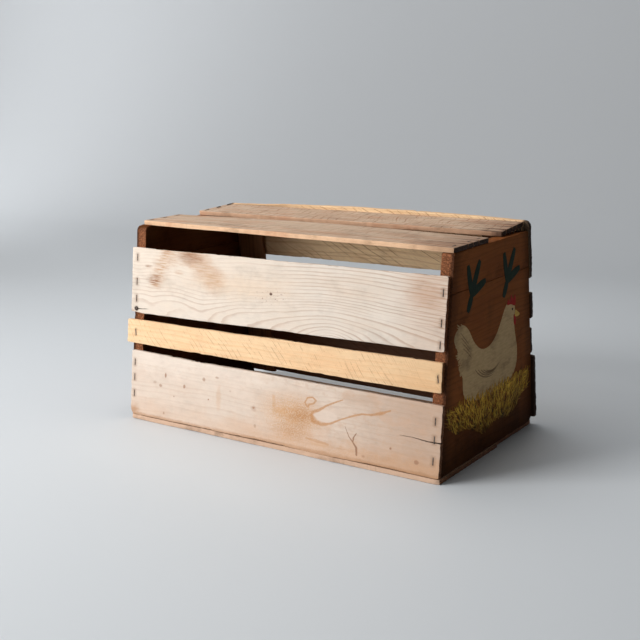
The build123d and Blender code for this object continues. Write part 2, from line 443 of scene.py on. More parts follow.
    def dirt_and_shade_in_splits(self, splits, spread):
        """Dark colour in and beside the open splits: dirt, and painted shade of the cracks."""
        g = self.graph
        ragged = (g.noise(g.x * 0.12, g.y * 0.8, 6, 3) - 0.5) * 1.1
        for path, width in splits:
            gone = travelled(path) / np.hypot(*np.subtract(path[-1], path[0]))
            halves = (0.5 * width + spread) * (1 - 0.9 * gone)
            inside = g.path(*((x, y, float(half)) for (x, y), half in zip(path, halves)))
            # dirt and painted crack shade
            self.stain(g.step(inside + ragged, -0.1, 0.5) * 0.8, (66, 44, 32))

    def finish(self):
        g, wood = self.graph, self.wood
        self.stain(1, self.light, "MULTIPLY")
        # rough end grain, speckled pale and dark
        speckle = g.noise(g.y * 0.6, g.z * 0.6, g.x * 0.2, 5, 0.8)
        end = tint(*wood.end)
        darker, darkest = (tuple(c * share for c in end) for share in (0.45, 0.3))
        paler = tuple(min(c * 2.6, 1) for c in end)
        grain = g.mix(self.band * 0.6, end, darker)
        grain = g.mix(g.step(speckle, 0.52, 0.58) * 0.8, grain, paler)
        grain = g.mix(g.step(speckle, 0.47, 0.38) * 0.8, grain, darkest)
        # painted shadow on the end grain near the outer face
        grain = g.mix(self.corner, grain, tint(46, 26, 16))
        ends = g.step(g.nx, 0.55, 0.85)
        self.stain(ends, grain)
        grime = g.noise(g.x * 0.02 + wood.seed, g.y * 0.03, g.z * 0.03 + 4, 5, 0.65)
        self.stain(g.step(grime, 0.5, 0.75) * wood.grime, (112, 92, 74), "MULTIPLY")
        return g.finish(self.colour, self.rough, self.height + ends * (speckle * 0.35), self.shine)


OCHRE, AMBER = (204, 154, 106), (190, 136, 86)


def front_upper_wood():
    layers = Layers("front_upper_pine", Wood(
        pale=(226, 213, 199), late=(170, 128, 100), patch=(218, 194, 172), ring=4.7, wander=4.5,
        run=170, lines=0.5, sharp=0.55, fibre=0.35, patches=0.35, slant=1.2, grime=0.15, seed=3.1,
        heart=(98, 164, 2.7, 50), waves=(30, -150, 13, 74), end=(116, 70, 44),
    ))
    g, stain = layers.graph, layers.stain
    blot = g.noise(g.x * 0.05, g.y * 0.09, 5, 5, 0.62)
    ragged = (blot - 0.5) * 1.3
    dashes = 0.3 + g.step(g.noise(g.x * 0.045, g.y * 0.42, 2, 4, 0.65), 0.42, 0.6) * 0.9

    def smudge(x, y, size_x, size_y, inner=0.2):
        return g.step(g.reach(x, y, size_x, size_y) + ragged, 1.2, inner)

    # the growth lines are faint at the left
    faint = g.step(g.x, 90, -60) * (0.35 + g.step(g.y + g.x * 0.12, 176, 216) * 0.35)
    stain(faint, (228, 212, 195))
    # two reddish-brown smudges near the left end, each darkest at one corner
    reddish, brown = (186, 134, 88), (142, 90, 54)
    first = g.path((-205, 270, 36), (-232, 216, 20)) + ragged
    stain(g.step(first, 0.1, 0.95) * dashes * 0.55, reddish)
    stain(smudge(-236, 220, 17, 10) * dashes * 0.75, brown)
    stain(smudge(-248, 240, 9, 3) * dashes * 0.5, brown)
    stain(smudge(-184, 236, 12, 4) * dashes * 0.35, reddish)
    second = g.path((-166, 270, 34), (-114, 230, 32)) + ragged
    dashes = 0.5 + dashes * 0.5
    stain(g.step(second, 0.05, 0.9) * dashes * 0.55, reddish)
    stain(smudge(-162, 260, 30, 13, 0.1) * dashes * 0.65, brown)
    # a resinous tint along the middle, and reddish lines towards the right end
    stain(smudge(-60, 226, 110, 22) * 0.25, (224, 186, 146))
    right = g.step(g.x, 180, 272)
    reddened = g.step(g.noise(g.x * 0.012, g.y * 0.55, 7, 3), 0.48, 0.62)
    stain(right * reddened * g.step(g.y, 190, 212) * 0.45, (176, 112, 78))
    stain(right * 0.35, (198, 162, 136))
    stain(smudge(246, 243, 34, 22) * 0.4, (186, 138, 104))
    nibbled = g.step(g.x + (blot - 0.5) * 14, 279, 283) * smudge(284, 218, 8, 22, 0.6)
    stain(nibbled * 0.75, (140, 84, 54))
    # specks, and a small dark knot among them
    specks = g.step(g.noise(g.x * 0.3, g.y * 0.36, 9, 2), 0.62, 0.7)
    stain(specks * g.step(g.reach(-8, 217, 34, 14), 1.2, 0.5) * 0.6, (140, 84, 60))
    stain(g.step(g.reach(-7, 220, 2.9, 2.1) + ragged * 0.5, 1.1, 0.6) * 0.9, (80, 40, 26))
    layers.rust(FRONT, "front_upper_staples")
    nail_x, nail_y, _ = (float(v) for v in own_points("front_upper_nail", FRONT).mean(0))
    stain(g.step(g.reach(nail_x, nail_y, 6, 6) + (blot - 0.5), 1, 0.5) * 0.4, (92, 62, 44))
    layers.dirt_and_shade_in_splits(NAIL_SPLIT, 0.5)
    return layers.finish()


def front_middle_wood():
    layers = Layers("front_middle_pine", Wood(
        pale=(243, 207, 164), late=(216, 160, 110), patch=(238, 190, 142), ring=9, wander=6,
        lines=0.25, saw=0.9, saw_pitch=10, saw_lean=0.9, saw_gaps=0.9, slant=1.4, grime=0.1, seed=8.4,
        end=(110, 68, 38), coarse=1.5,
    ))
    g = layers.graph
    # torn fibre in slanting flecks, and a browner right end
    torn = g.step(g.noise(g.x * 0.16 + g.y * 0.16, g.y * 0.3, 4, 4, 0.65), 0.62, 0.72)
    layers.stain(torn * 0.5, (188, 130, 84))
    layers.stain(g.step(g.x, 120, 275) * 0.3, (206, 160, 112))
    layers.rust(FRONT, "front_middle_staples", reach=3.5)
    return layers.finish()


def front_lower_wood():
    layers = Layers("front_lower_pine", Wood(
        pale=(220, 202, 186), late=(196, 164, 142), patch=(212, 184, 164), ring=8.5, wander=12,
        lines=0.22, sharp=0.5, fibre=0.3, patches=0.3, slant=1.6, grime=0.1, seed=12.7, end=(100, 64, 42),
    ))
    g, stain = layers.graph, layers.stain
    rag = g.noise(g.x * 0.1, g.y * 0.13, 2, 5, 0.65)
    crumbs = g.noise(g.x * 0.45, g.y * 0.5, 6, 3, 0.7)
    mottle = 0.55 + g.step(crumbs, 0.4, 0.6) * 0.45
    layers.fray = (rag - 0.5) * 1.6
    handling_stains(layers, rag, mottle)
    dried_pool(layers, 0.4 + g.step(crumbs + (rag - 0.5) * 0.5, 0.42, 0.56) * 0.6, mottle)
    small_marks(layers)
    stain(g.step(crumbs, 0.7, 0.78) * 0.35, (150, 112, 86))
    # the knocked lower edge
    stain(g.step(g.y + (rag - 0.5) * 8, 6.5, 1.5) * 0.6, (180, 134, 96))
    stain(layers.spot(-272, 7, 12, 9, 0.9) * 0.7, (172, 124, 86))
    layers.rust(FRONT, "front_lower_staples")
    layers.dirt_and_shade_in_splits(LOWER_SPLIT, 0.3)
    return layers.finish()


def handling_stains(layers, rag, mottle):
    """The lower slat is whitish above, darker to the right and browner low down, with tan patches."""
    g, stain, spot = layers.graph, layers.stain, layers.spot
    broad = g.noise(g.x * 0.025, g.y * 0.035, 8, 4, 0.6)
    streaky = g.noise(g.x * 0.035, g.y * 0.3, 7, 4, 0.6)
    whitish = g.step(g.y + (broad - 0.5) * 60, 56, 92) * g.step(g.x, 90, -60)
    stain(whitish * 0.45, (236, 222, 208))
    handled = g.step(g.x, -80, 80)
    stain(g.step(g.x, 80, 260) * 0.6, (182, 144, 116))
    stain(g.step(broad, 0.52, 0.64) * handled * 0.4, (206, 168, 140))
    stain(g.step(streaky, 0.58, 0.7) * handled * 0.3, (180, 152, 136))
    stain(g.step(rag, 0.5, 0.66) * (0.12 + handled * 0.2), (202, 166, 138))
    stain(spot(-98, 52, 5, 20) * 0.25, OCHRE)
    stain(spot(150, 88, 34, 9, 0.9) * 0.4, (186, 152, 126))
    low = g.step(g.y + (broad - 0.5) * 70, 40, 4) * (0.35 + g.step(g.x, -150, 40) * 0.65)
    stain(low * (0.25 + mottle * 0.35), (206, 156, 114))


def dried_pool(layers, crumbly, mottle):
    """An ochre pool on the lower slat that faded outward, and its dried runs."""
    g, stain, spot, run = layers.graph, layers.stain, layers.spot, layers.run
    stain(spot(36, 50, 56, 30, 1) * crumbly * 0.9, OCHRE)
    stain(spot(58, 50, 26, 17, 1.2) * crumbly, AMBER)
    stain(spot(40, 24, 36, 13, 1) * crumbly * 0.6, AMBER)
    stain(g.step(run((5, 71, 3), (7, 50, 4), (24, 52, 6)), -0.4, 0.8) * 0.35, OCHRE)
    clean = g.step(g.reach(98, 55, 22, 9) + (g.y - 55) * -0.01 + layers.fray * 0.3, 1.05, 0.85)
    stain(clean * 0.85, (222, 202, 186))
    long_run = run(
        (73, 55, 2.4), (76, 46, 3.4), (91, 43, 2.6), (106, 47, 1.5), (124, 56, 1.1), (143, 64, 1.3),
        (157, 69, 1.3), (172, 70, 1.4), (188, 75, 2.2), (203, 81, 0.8),
    )
    upper_run = run((75, 58, 2.6), (87, 64, 2), (99, 72, 1.4), (118, 81, 1.2), (125, 84, 0.7))
    loop_run = run(
        (66, 65, 1.4), (61, 70, 1.1), (65, 78, 1.1), (74, 80, 1.2), (80, 76, 1.4), (76, 71, 1.1),
        (69, 69, 1.3), (66, 65, 1.4),
    )
    for inside in (long_run, upper_run, loop_run):
        stain(g.step(inside, -0.5, 0.5) * (0.35 + mottle * 0.45), AMBER)
    stain(g.step(run((66, 19, 2), (86, 18, 3), (104, 16, 2)), 0, 0.6) * 0.45, AMBER)
    stain(spot(90, 14, 20, 4, 0.8) * 0.35, OCHRE)


def small_marks(layers):
    """A forked scratch on the lower slat, and its small knots and dents."""
    g, stain, run = layers.graph, layers.stain, layers.run
    scratch = g.largest(
        run((131, 47, 0.5), (138, 34, 0.9), (145, 27, 1.1), (151, 20, 2), (152, 10, 1.7)),
        run((150, 40, 0.8), (146, 34, 1.2), (145, 27, 1.1)),
    )
    stain(g.step(scratch, -0.1, 0.4) * 0.75, (142, 98, 70))
    for x, y, size_x, size_y, strength in (
        (206, 29, 1.8, 1.8, 0.8), (247, 17, 3.6, 3.4, 0.7), (-206, 72, 1.9, 4.5, 0.8),
        (-216, 54, 3.4, 2.6, 0.6), (-167, 60, 2.4, 3.2, 0.7), (-128, 76, 3.6, 3.2, 0.6),
        (-102, 83, 3.4, 1.6, 0.5), (-188, 41, 2, 1.4, 0.5), (-31, 47, 5.5, 4.6, 0.35),
        (-31, 48, 2.2, 1.8, 0.7), (-118, 47, 1.6, 1.4, 0.9), (-228, 58, 4, 2.4, 0.35),
        (-208, 11, 2.2, 2.4, 0.5), (-27, 21, 2.4, 3, 0.4), (163, 10, 3.2, 2.2, 0.4),
        (-76, 66, 2, 1.4, 0.3),
    ):
        stain(layers.spot(x, y, size_x, size_y) * strength, (158, 114, 86))


def top_wood(side, axes, saw_lean, saw, seed, edge, splits):
    layers = Layers(f"top_{side}_pine", Wood(
        pale=(212, 185, 159), late=(148, 110, 80), patch=(184, 142, 112), ring=7.5, wander=10,
        run=190, lines=0.55, fibre=0.95, patches=0.6, saw=saw, saw_pitch=15, saw_lean=saw_lean,
        grime=0.4, seed=seed, edge=edge, end=(52, 32, 22), coarse=1.6,
    ))
    g = layers.graph
    # reddish streaks along the grain, and a brown right end
    streaky = g.noise(g.x * 0.012, g.y * 0.12, seed, 4, 0.6)
    layers.stain(g.step(streaky, 0.5, 0.68) * 0.55, (196, 140, 108))
    layers.stain(g.step(g.x + (streaky - 0.5) * 90, 190, 285) * 0.55, (126, 88, 64))
    layers.dirt_and_shade_in_splits(splits, 1.6)
    layers.rust(axes, f"top_{side}_staples", reach=5)
    return layers.finish()


def back_wood():
    layers = Layers("back_pine", Wood(
        pale=(254, 224, 180), late=(196, 148, 104), patch=(226, 182, 134), ring=8, lines=0.4,
        fibre=0.8, patches=0.4, saw=1.2, saw_pitch=19, saw_lean=-1.8, grime=0.15, seed=31.9,
        edge=(226, 184, 142), end=(46, 28, 20), coarse=1.5,
    ))
    g = layers.graph
    # weathered outside; inside, painted shade below the upper slat and toward the crate's left end
    faces = g.step(g.nz, 0.5, 0.8)
    outside = g.step(g.z, 3, 5) * faces
    layers.stain(outside * 0.65, (150, 112, 80))
    inside = g.step(g.z, 3, 1.5) * faces
    layers.stain(inside * g.step(g.y, 225, 200) * 0.9, (78, 34, 24))
    layers.stain(inside * g.step(g.x, 50, 210) * 0.6, (116, 70, 40))
    # painted shade: the slat ends past the end panels are dark
    overhang = g.step(g.math("ABSOLUTE", g.x), 271, 276)
    layers.stain(overhang * (1 - outside) * 0.9, (52, 32, 22))
    layers.rust(BACK, *(f"back_{name}_staples" for name in ("upper", "second", "third", "lower")))
    return layers.finish()


def floor_wood():
    return Layers("floor_pine", Wood(
        pale=(188, 154, 126), late=(140, 104, 78), patch=(170, 124, 94), ring=9, wander=10, lines=0.45,
        fibre=0.7, saw=0.5, saw_pitch=16, grime=0.6, seed=41.3, edge=(214, 180, 154), coarse=1.2,
    )).finish()


def cleat_wood():
    return Layers("cleat_pine", Wood(
        pale=(138, 98, 68), late=(98, 64, 42), patch=(120, 80, 54), ring=6, wander=5, lines=0.5,
        fibre=0.7, grime=0.5, seed=51.7, coarse=1.2,
    )).finish()


END_WOOD = Wood(
    pale=(136, 79, 39), late=(99, 55, 27), patch=(122, 66, 32), ring=7.5, wander=10, run=150,
    lines=0.4, fibre=0.9, patches=0.6, slant=0.9, grime=0.5, seed=61.2, end=(124, 78, 52), coarse=1.1,
)


def end_wood(side):
    layers = Layers(f"{side}_end_pine", END_WOOD)
    if side == "left":
        outside = layers.graph.step(layers.graph.z, -6, -2)
        layers.stain(outside * 0.45, (150, 108, 72))
    # painted shade on the panel
    layers.aged_and_shaded_panel()
    return layers.finish()


# ---- Steel ----
def rusty_steel(name, steel, rust):
    g = Graph(name)
    coarse = g.noise(g.x * 0.35, g.y * 0.35, g.z * 0.35, 4, 0.6)
    fine = g.noise(g.x * 2.2, g.y * 2.2, g.z * 2.2, 4, 0.65)
    rusted = g.step(coarse + (fine - 0.5) * 0.6, 0.47, 0.62)
    darker = tuple(c * 0.4 for c in tint(*rust))
    colour = g.mix(rusted, tint(*steel), g.mix(g.step(fine, 0.4, 0.6), tint(*rust), darker))
    return g.finish(colour, 0.42 + rusted * 0.4, fine * 0.12 + rusted * 0.08, metallic=0.55)


# ---- Boards ----
def ripple(rng, size, *places):
    """Smooth random variation, mostly between -1 and 1, with features about size across."""
    total = 0
    for _ in range(7):
        waves = rng.normal(0, 2.2 / size, len(places))
        total = total + np.sin(sum(k * p for k, p in zip(waves, places)) + rng.uniform(0, 2 * pi))
    return total / 2.2


def lower_edge(points):
    """The lower side of a convex outline, as its places and its heights."""
    edge = []
    for point in sorted({(round(float(a), 2), round(float(b), 2)) for a, b in points}):
        while len(edge) > 1:
            (ax, ay), (bx, by) = edge[-2:]
            if (bx - ax) * (point[1] - ay) - (by - ay) * (point[0] - ax) > 0:
                break
            edge.pop()
        edge.append(point)
    if edge[-1][0] - edge[-2][0] < 0.05:
        edge.pop()
    return np.array(edge).T


def grid_lines(low, high, step, arris):
    """Places from low to high about a step apart, with two more inside each rounded arris."""
    count = max(2, round((high - low - 2 * arris) / step) + 1)
    inner = np.linspace(low + arris, high - arris, count)
    inset = ARRIS_LINE * arris
    return np.concatenate([[low, low + inset], inner, [high - inset, high]])


def skin(size):
    """The surface of a block of grid lines: each vertex's three line numbers, and the quads."""
    weights = np.array((size[1] * size[2], size[2], 1))
    quads = []
    for axis in range(3):
        u, v = (axis + 1) % 3, (axis + 2) % 3
        for at in (0, size[axis] - 1):
            grid = np.zeros((size[u], size[v], 3), int)
            grid[..., axis] = at
            grid[..., u] = np.arange(size[u])[:, None]
            grid[..., v] = np.arange(size[v])[None, :]
            key = grid @ weights
            cells = np.stack([key[:-1, :-1], key[1:, :-1], key[1:, 1:], key[:-1, 1:]], -1).reshape(-1, 4)
            quads.append(cells if at else cells[:, ::-1])
    quads = np.concatenate(quads)
    keys, numbers = np.unique(quads, return_inverse=True)
    places = np.stack([keys // weights[0], keys // weights[1] % size[1], keys % size[2]], -1)
    return places, numbers.reshape(-1, 4)


def merged(shapes):
    """Several shapes, each vertices and faces, as one."""
    vertices, faces = [], []
    for more_vertices, more_faces in shapes:
        start = len(vertices)
        vertices += more_vertices
        faces += [tuple(start + k for k in f) for f in more_faces]
    return vertices, faces


def add_object(name, data, axes=Matrix()):
    made = bpy.data.objects.new(name, data)
    made.matrix_world = axes
    bpy.context.scene.collection.objects.link(made)
    return made


def new_mesh(name, vertices, faces):
    mesh = bpy.data.meshes.new(name)
    mesh.from_pydata(vertices, [], faces)
    return mesh


def new_piece(name, axes, vertices, faces, material, slot):
    """A mesh piece whose vertices are in a face's own millimetres."""
    piece = add_object(name, new_mesh(name, (np.asarray(vertices) * MM).tolist(), faces), axes)
    piece.data.materials.append(material)
    return piece


def split_cutter(rng, points, width, low, high):
    """A thin jagged wedge along a few points, from its open end to nothing."""
    points = np.array(points, float)
    places = travelled(points)
    along = np.append(np.arange(0, places[-1], SPLIT_STEP), places[-1])
    x = np.interp(along, places, points[:, 0])
    y = np.interp(along, places, points[:, 1]) + 0.14 * rng.normal(size=len(along)).cumsum()
    half = 0.5 * width * np.clip(1 - along / places[-1], 0.06, 1) ** 0.7 * rng.uniform(0.75, 1.25, len(along))
    vertices, faces = [], []
    for i in range(len(along)):
        vertices += [(x[i], y[i] - half[i], low), (x[i], y[i] + half[i], low),
                     (x[i], y[i] + half[i], high), (x[i], y[i] - half[i], high)]
        if i:
            for k in range(4):
                a, b = 4 * (i - 1) + k, 4 * (i - 1) + (k + 1) % 4
                faces.append((a, b, b + 4, a + 4))
    last = len(vertices) - 4
    faces += [(3, 2, 1, 0), (last, last + 1, last + 2, last + 3)]
    return vertices, faces


def cut(piece, cutters, axes):
    """Takes the cutters' shapes out of a piece."""
    vertices, faces = merged(cutters)
    mesh = new_mesh("cutter", [tuple(c * MM for c in v) for v in vertices], faces)
    shell = bmesh.new()
    shell.from_mesh(mesh)
    bmesh.ops.recalc_face_normals(shell, faces=shell.faces)
    shell.to_mesh(mesh)
    shell.free()
    tool = add_object("cutter", mesh, axes)
    modifier = piece.modifiers.new("splits", "BOOLEAN")
    modifier.operation, modifier.solver, modifier.object = "DIFFERENCE", "EXACT", tool
    bpy.context.view_layer.update()
    shape = piece.evaluated_get(bpy.context.evaluated_depsgraph_get())
    piece.data = bpy.data.meshes.new_from_object(shape)
    piece.modifiers.clear()
    bpy.data.objects.remove(tool)


def board_block(rng, points, arris):
    """A block in the outline of some points, with unevenly rounded arrises.

    Gives its places along, across and through it, where its lower side starts, its span, the share of the
    way across, and its quads."""
    (a0, _, c0), (a1, _, c1) = points.min(0), points.max(0)
    low, high = lower_edge(points[:, :2]), lower_edge(points[:, :2] * (1, -1))
    width = float(np.median(-high[1]) - np.median(low[1]))
    lines = (grid_lines(a0, a1, GRID_STEP, arris), grid_lines(0, width, GRID_STEP, arris),
             grid_lines(c0, c1, GRID_DEPTH, arris))
    places, quads = skin([len(line) for line in lines])
    a, across, c = (line[k] for line, k in zip(lines, places.T))
    share = across / width

    inside = np.clip(a, a0 + 0.02, a1 - 0.02)
    start = np.interp(inside, *low)
    span = -np.interp(inside, *high) - start
    radius = arris * np.clip(1 + 0.45 * ripple(rng, 45, a), 0.4, 1.7)[:, None]
    block = np.stack([a, share * span, c], -1)
    low_corner = np.array((a0, 0, c0))
    high_corner = np.array((a1, 0, c1)) + span[:, None] * (0, 1, 0)
    inner = np.clip(block, low_corner + radius, high_corner - radius)
    out = block - inner
    block = inner + out / np.linalg.norm(out, axis=1)[:, None] * radius
    return (*block.T, start, span, share, quads)


def board(node, axes, material, slot, seed, arris=0.9, bow=0, cup=0, tilt=0, twist=0, drop=0,
          upright=False, splits=(), flat=False):
    """A sawn board in its CAD node's outline: worn arrises, wandering edges, ragged ends, a little bow.

    Upright follows the outline up its height, for a board whose ends lean."""
    rng = np.random.default_rng(seed)
    points = own_points(node, axes)
    if upright:
        points = points[:, (1, 0, 2)]
    (a0, _, c0), (a1, _, c1) = points.min(0), points.max(0)
    a, b, c, start, span, share, quads = board_block(rng, points, arris)

    # edges wander, arrises are bruised here and there, and the ends are ragged
    edge_low = EDGE_WANDER * (ripple(rng, 80, a) + 0.35 * ripple(rng, 11, a))
    edge_high = EDGE_WANDER * (ripple(rng, 80, a) + 0.35 * ripple(rng, 11, a))
    worn = [np.clip(ripple(rng, 7, a) * ripple(rng, 60, a) - 0.75, 0, 1.2) for _ in range(4)]
    top = (c - c0) / (c1 - c0)
    bruise_low = (worn[0] * top + worn[1] * (1 - top)) * np.exp(-b / 1.5)
    bruise_high = (worn[2] * top + worn[3] * (1 - top)) * np.exp(-(span - b) / 1.5)
    b = start + b + (1 - share) * (edge_low - drop) + share * edge_high + bruise_low - bruise_high
    ragged = np.clip(1 - np.minimum(a - a0, a1 - a) / 4, 0, 1)
    a = a + ragged * 0.3 * np.sign(a - (a0 + a1) / 2) * (ripple(rng, 5, b, c) - 0.6)
    if not flat:
        side = 2 * share - 1
        middle = 0 * a if upright else np.clip(1 - (a / FREE_HALF_LENGTH) ** 2, 0, 1)
        c = c + middle * (bow + cup * side ** 2 + tilt * side) + twist * share * a / a1
        c = c + 0.08 * ripple(rng, 28, a, b)

    vertices = np.stack([b, a, c] if upright else [a, b, c], -1)
    if upright:
        quads = quads[:, ::-1]
    piece = new_piece(f"{node}_wood", axes, vertices, quads.tolist(), material, slot)
    if splits:
        reach = c0 - CUT_MARGIN, c1 + CUT_MARGIN
        cut(piece, [split_cutter(rng, path, wide, *reach) for path, wide in splits], axes)
    piece.data.shade_smooth()
    piece.data.set_sharp_from_angle(angle=SHARP_ANGLE)
    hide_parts(node)
    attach(piece, "root")
    return piece


# ---- Paint on the right end panel ----
def loop(points, steps=8):
    """A smooth closed curve through a few points."""
    points = np.array(points, float)
    before, after, beyond = np.roll(points, 1, 0), np.roll(points, -1, 0), np.roll(points, -2, 0)
    t = (np.arange(steps) / steps)[None, :, None]
    p0, p1, p2, p3 = (p[:, None, :] for p in (before, points, after, beyond))
    curve = p1 + 0.5 * t * (p2 - p0 + t * (2 * p0 - 5 * p1 + 4 * p2 - p3 + t * (3 * (p1 - p2) + p3 - p0)))
    return curve.reshape(-1, 2)


def film(outline, lift, thick=PAINT_THICKNESS):
    """A thin layer of paint: its top, and its sides down to the wood."""
    count = len(outline)
    vertices = [(x, y, lift + thick) for x, y in outline] + [(x, y, -PAINT_DEPTH) for x, y in outline]
    faces = [tuple(range(count)), tuple(range(2 * count - 1, count - 1, -1))]
    faces += [(k, k + count, (k + 1) % count + count, (k + 1) % count) for k in range(count)]
    return vertices, faces


def dab(start, bend, end, width, blunt=0.7):
    """The outline of one brush stroke: pressed in the middle, and the blunter it is the wider its ends."""
    t = np.linspace(0, 1, 7)[:, None]
    start, bend, end = (np.array(p, float) for p in (start, bend, end))
    middle = (1 - t) ** 2 * start + 2 * t * (1 - t) * bend + t * t * end
    slope = np.gradient(middle, axis=0)
    side = np.stack([-slope[:, 1], slope[:, 0]], -1) / np.linalg.norm(slope, axis=1)[:, None]
    half = width / 2 * (np.sin(pi * np.clip(t * 0.82 + 0.14, 0, 1)) ** blunt)
    return np.concatenate([middle + side * half, (middle - side * half)[::-1]])


def stroke(x, y, turn, length, width, middle=0.5, curve=0.3, blunt=0.7):
    """A dab from a place in a direction, bent a little to its left."""
    def onward(share, angle):
        return x + share * length * cos(angle), y + share * length * sin(angle)
    return dab((x, y), onward(middle, turn + curve), onward(1, turn), width, blunt)


def painted(name, films, material):
    piece = new_piece(name, RIGHT, *merged(films), material, "end_panel_wood")
    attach(piece, "root")
    return piece


def paint(name, colour, second, worn, seed, brush=(0.08, 0.35)):
    """Old brushed paint over the end panel's wood, which shows where the paint has worn."""
    layers = Layers(name, END_WOOD)
    g = layers.graph
    drag = g.noise(g.x * brush[0] + seed, g.y * brush[1], seed, 4, 0.6)
    hue = g.mix(g.step(drag, 0.35, 0.68), tint(*colour), tint(*second))
    hue = g.mix(1, hue, 0.9 + g.noise(g.x * 0.5, g.y * 0.5, seed, 3) * 0.2, "MULTIPLY")
    wear = g.noise(g.x * 0.16 + seed, g.y * 0.5, 3, 5, 0.7) + layers.band * 0.06
    bare = g.step(wear, 0.74 - worn * 0.2, 0.8)
    layers.stain(1 - bare, hue)
    layers.light = 1 + (layers.fine - 0.5) * 0.12
    # the same painted shade as on the bare panel
    layers.aged_and_shaded_panel()
    layers.height = layers.height * 0.5 + drag * 0.1 + (1 - bare) * 0.05
    layers.rough = 0.5 + bare * 0.2
    return layers.finish()


def tail_dabs(rng, count=120):
    """Short feather strokes that fan back from the tail."""
    strokes = []
    for k in range(count):
        share = k / (count - 1)
        y = 197 - 66 * share + rng.uniform(-2, 2)
        x = -93 - 7 * sin(pi * share) + 6 * share + rng.uniform(-4, 4)
        turn = radians(152 + 66 * share) + rng.uniform(-0.2, 0.2)
        length = rng.uniform(5, 15 - 6 * share)
        strokes.append(stroke(x, y, turn, length, rng.uniform(1.2, 2.2), middle=0.6, curve=0.25))
    return strokes


def straw_dabs(rng, count, spread):
    """Strokes of straw in a long heap: they lean outward from its middle and overlap."""
    strokes = []
    while len(strokes) < count:
        x, y = rng.uniform(-128, 126), rng.uniform(22, 100)
        top = 92 - 10 * cos(x / 55) - 0.0009 * x * x
        foot = 30 + 0.0018 * (x - 10) ** 2 + 5 * sin(x / 14)
        if not foot < y < top:
            continue
        turn = radians(90 - x * 0.33) + rng.normal(0, spread)
        length = rng.uniform(7, 16)
        strokes.append(stroke(x, y, turn, length, rng.uniform(0.9, 1.8)))
    return strokes


def bird_track(x, y, size, turn):
    """A bird's footprint in four brush strokes: three toes forward and one back."""
    toes = ((0, 1, 0.27), (44, 0.88, 0.25), (-44, 0.88, 0.25), (180, 0.5, 0.25))
    return [stroke(x, y, radians(turn + angle), size * share, size * width, curve=0.05, blunt=0.3)
            for angle, share, width in toes]


def paint_hen(rng):
    """A plain hen that faces the crate's back."""
    white = paint("hen_white", (198, 167, 122), (183, 152, 108), 0.1, 1)
    shade = paint("hen_grey", (132, 106, 74), (146, 118, 82), 0.2, 2)
    red = paint("hen_red", (166, 34, 20), (138, 26, 16), 0.1, 3)
    yellow = paint("hen_yellow", (206, 166, 84), (188, 148, 66), 0.05, 4)
    black = paint("hen_black", (38, 32, 28), (52, 42, 34), 0, 5)
    body = loop((
        (-110, 193), (-92, 199), (-74, 189), (-56, 168), (-34, 154), (-8, 153), (14, 165), (30, 184),
        (42, 199), (56, 206), (69, 202), (75, 191), (73, 177), (76, 158), (85, 132), (84, 106), (66, 88),
        (30, 80), (-20, 80), (-66, 86), (-86, 100), (-90, 124), (-95, 148), (-106, 166), (-116, 182),
    ))
    painted("hen_body", [film(body, 0)], white)
    painted("hen_tail_feathers", [film(s, rng.uniform(0.02, 0.12)) for s in tail_dabs(rng)], white)
    wing = [dab((-52 + 9 * k, 128 - 2.2 * k), (-30 + 8 * k, 106 + k), (6 + 5 * k, 108 + 3.4 * k), 2)
            for k in range(5)]
    quills = [dab((-98 + 3 * k, 190 - 8 * k), (-86 + 3 * k, 180 - 7 * k), (-72 + 3 * k, 168 - 7 * k), 1.3)
              for k in range(4)]
    painted("hen_feather_lines", [film(s, 0.12) for s in wing + quills], shade)
    comb = loop((
        (48, 201), (50, 209), (56, 206), (61, 214), (67, 207), (74, 212), (77, 203), (74, 196), (60, 200),
    ), 5)
    wattle = loop(((71, 182), (77, 181), (80, 173), (77, 166), (72, 170)), 5)
    painted("hen_comb_and_wattle", [film(comb, 0.15), film(wattle, 0.15)], red)
    beak = loop(((76, 189), (85, 185), (92, 180), (85, 178), (75, 180)), 4)
    painted("hen_beak", [film(beak, 0.18)], yellow)
    turns = [2 * pi * k / 20 for k in range(20)]
    eye = [(66 + 2 * cos(turn), 192 + 2 * sin(turn)) for turn in turns]
    painted("hen_eye", [film(eye, 0.25)], black)


def paint_straw(rng):
    """Four layers of strokes under the hen, each a little further out than the last."""
    light = paint("straw_light", (250, 205, 80), (228, 176, 60), 0.1, 7)
    gold = paint("straw_gold", (206, 150, 52), (176, 122, 38), 0.25, 8)
    dark = paint("straw_dark", (90, 68, 22), (66, 54, 18), 0.1, 9)
    straws = (("straw_undercoat", gold, 520, 0.6), ("straw_shadows", dark, 260, 0.55),
              ("straw_gold_strokes", gold, 420, 0.5), ("straw_light_strokes", light, 340, 0.5))
    for level, (name, material, count, spread) in enumerate(straws):
        lift = 0.14 + 0.07 * level
        strokes = straw_dabs(rng, count, spread)
        painted(name, [film(s, lift + rng.uniform(0, 0.06), 0.1) for s in strokes], material)


def paint_tracks():
    """Two bird footprints above the hen."""
    green = paint("track_green", (22, 44, 28), (14, 32, 20), 0.15, 6, brush=(0.35, 0.08))
    tracks = bird_track(-66, 236, 50, 62) + bird_track(46, 237, 50, 62)
    painted("bird_tracks", [film(s, 0.02 + 0.03 * k) for k, s in enumerate(tracks)], green)


def paint_right_panel():
    rng = np.random.default_rng(5)
    paint_hen(rng)
    paint_straw(rng)
    paint_tracks()


